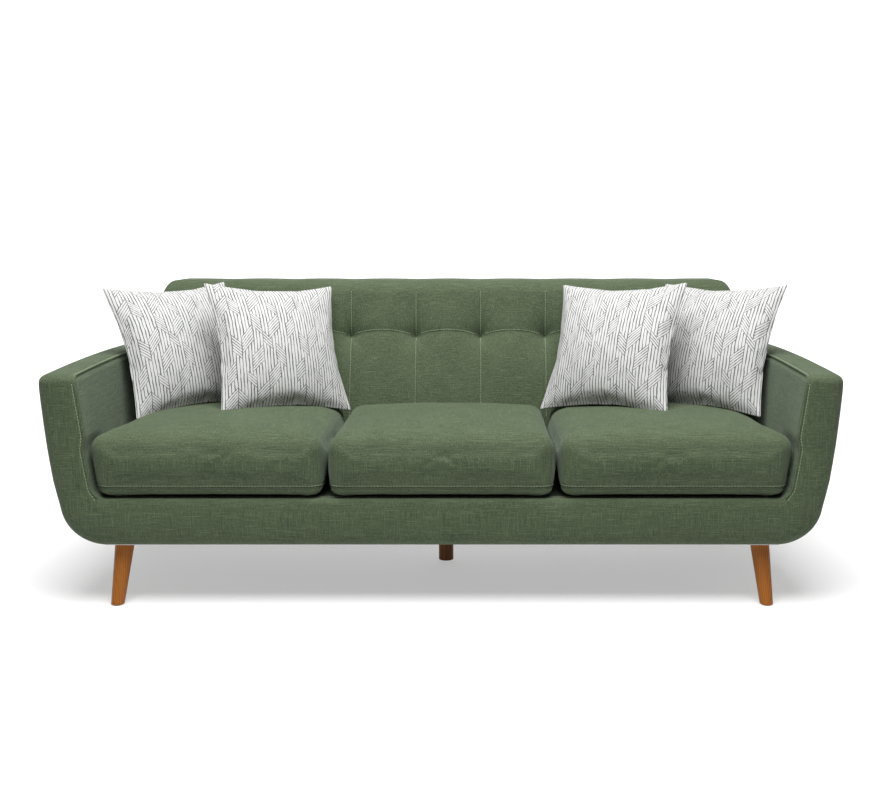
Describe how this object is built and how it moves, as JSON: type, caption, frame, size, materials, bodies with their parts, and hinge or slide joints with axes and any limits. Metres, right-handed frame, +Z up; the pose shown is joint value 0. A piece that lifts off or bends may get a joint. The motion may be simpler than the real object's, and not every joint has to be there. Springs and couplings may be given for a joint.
{
  "type": "sofa",
  "caption": "Three-seat sofa with flared track arms, tufted channel back, loose seat cushions, patterned throw pillows and splayed round wooden legs.",
  "frame": {"origin": "on the floor, under the middle of the whole sofa", "axes": "+X to the right of someone facing the sofa, along its length; front faces -Y; +Z up"},
  "size_m": [2.1528, 0.9036, 0.8774],
  "materials": {
    "leg_wood": "amber-stained turned wood with a satin lacquer",
    "centre_leg_wood": "dark brown stained wood",
    "glide": "moulded plastic glide",
    "steel": "plain zinc-coated steel",
    "frame_wood": "rough-sawn softwood",
    "webbing": "woven jute and twine",
    "felt": "cotton felt",
    "deck_fabric": "dark green deck cloth",
    "foam": "polyurethane foam with fibre wrap",
    "green_linen": "slubbed olive green linen weave",
    "dust_fabric": "black non-woven dust cloth",
    "zip_tape": "dark green zip tape",
    "patterned_cotton": "off-white cotton printed with dark grey hand-drawn lines",
    "fibre_fill": "polyester fibre fill"
  },
  "bodies": {
    "frame": {"leg_front_left": "leg_wood", "leg_front_right": "leg_wood", "leg_rear_left": "leg_wood", "leg_rear_right": "leg_wood", "leg_centre": "centre_leg_wood", "leg_glides": "glide", "leg_plates": "steel", "leg_bolts": "steel", "leg_screws": "steel", "front_rail": "frame_wood", "rear_rail": "frame_wood", "side_rail_left": "frame_wood", "side_rail_right": "frame_wood", "cross_rails": "frame_wood", "corner_blocks": "frame_wood", "arm_board_left": "frame_wood", "arm_board_right": "frame_wood", "arm_rail_left": "frame_wood", "arm_rail_right": "frame_wood", "back_post_left": "frame_wood", "back_post_right": "frame_wood", "back_top_rail": "frame_wood", "back_lower_rail": "frame_wood", "back_uprights": "frame_wood", "seat_springs": "steel", "spring_clips": "steel", "back_webbing": "webbing", "deck_felt": "felt", "deck_cloth": "deck_fabric", "front_pad": "foam", "front_cover": "green_linen", "arm_pad_left": "foam", "arm_pad_right": "foam", "arm_cover_left": "green_linen", "arm_cover_right": "green_linen", "back_pad": "foam", "back_cover": "green_linen", "outside_back": "green_linen", "tuft_ties": "webbing", "dust_cover": "dust_fabric"},
    "seat_cushion_left": {"seat_cover_left": "green_linen", "seat_core_left": "foam", "seat_zip_left": "zip_tape"},
    "zip_left": {"zip_slider_left": "steel"},
    "seat_cushion_middle": {"seat_cover_middle": "green_linen", "seat_core_middle": "foam", "seat_zip_middle": "zip_tape"},
    "zip_middle": {"zip_slider_middle": "steel"},
    "seat_cushion_right": {"seat_cover_right": "green_linen", "seat_core_right": "foam", "seat_zip_right": "zip_tape"},
    "zip_right": {"zip_slider_right": "steel"},
    "pillow_outer_left": {"pillow_cover_outer_left": "patterned_cotton", "pillow_fill_outer_left": "fibre_fill"},
    "pillow_inner_left": {"pillow_cover_inner_left": "patterned_cotton", "pillow_fill_inner_left": "fibre_fill"},
    "pillow_inner_right": {"pillow_cover_inner_right": "patterned_cotton", "pillow_fill_inner_right": "fibre_fill"},
    "pillow_outer_right": {"pillow_cover_outer_right": "patterned_cotton", "pillow_fill_outer_right": "fibre_fill"}
  },
  "joints": [
    {"name": "seat_cushion_left_lift", "type": "slide", "parent": "frame", "child": "seat_cushion_left", "axis": [0, 0, 1], "range_m": [0, 0.4]},
    {"name": "zip_left_slide", "type": "slide", "parent": "seat_cushion_left", "child": "zip_left", "axis": [1, 0, 0], "range_m": [0, 0.45]},
    {"name": "seat_cushion_middle_pull", "type": "slide", "parent": "frame", "child": "seat_cushion_middle", "axis": [0, -1, 0], "range_m": [0, 0.25]},
    {"name": "zip_middle_slide", "type": "slide", "parent": "seat_cushion_middle", "child": "zip_middle", "axis": [1, 0, 0], "range_m": [0, 0.45]},
    {"name": "seat_cushion_right_lift", "type": "slide", "parent": "frame", "child": "seat_cushion_right", "axis": [0, 0, 1], "range_m": [0, 0.4]},
    {"name": "zip_right_slide", "type": "slide", "parent": "seat_cushion_right", "child": "zip_right", "axis": [1, 0, 0], "range_m": [0, 0.45]},
    {"name": "pillow_outer_left_lift", "type": "slide", "parent": "seat_cushion_left", "child": "pillow_outer_left", "axis": [-0.2828, 0.3141, 0.9063], "range_m": [0, 0.5]},
    {"name": "pillow_inner_left_lift", "type": "slide", "parent": "seat_cushion_left", "child": "pillow_inner_left", "axis": [0, 0, 1], "range_m": [0, 0.5]},
    {"name": "pillow_inner_right_lift", "type": "slide", "parent": "seat_cushion_right", "child": "pillow_inner_right", "axis": [0, 0, 1], "range_m": [0, 0.5]},
    {"name": "pillow_outer_right_lift", "type": "slide", "parent": "seat_cushion_right", "child": "pillow_outer_right", "axis": [0.2828, 0.3141, 0.9063], "range_m": [0, 0.5]}
  ]
}
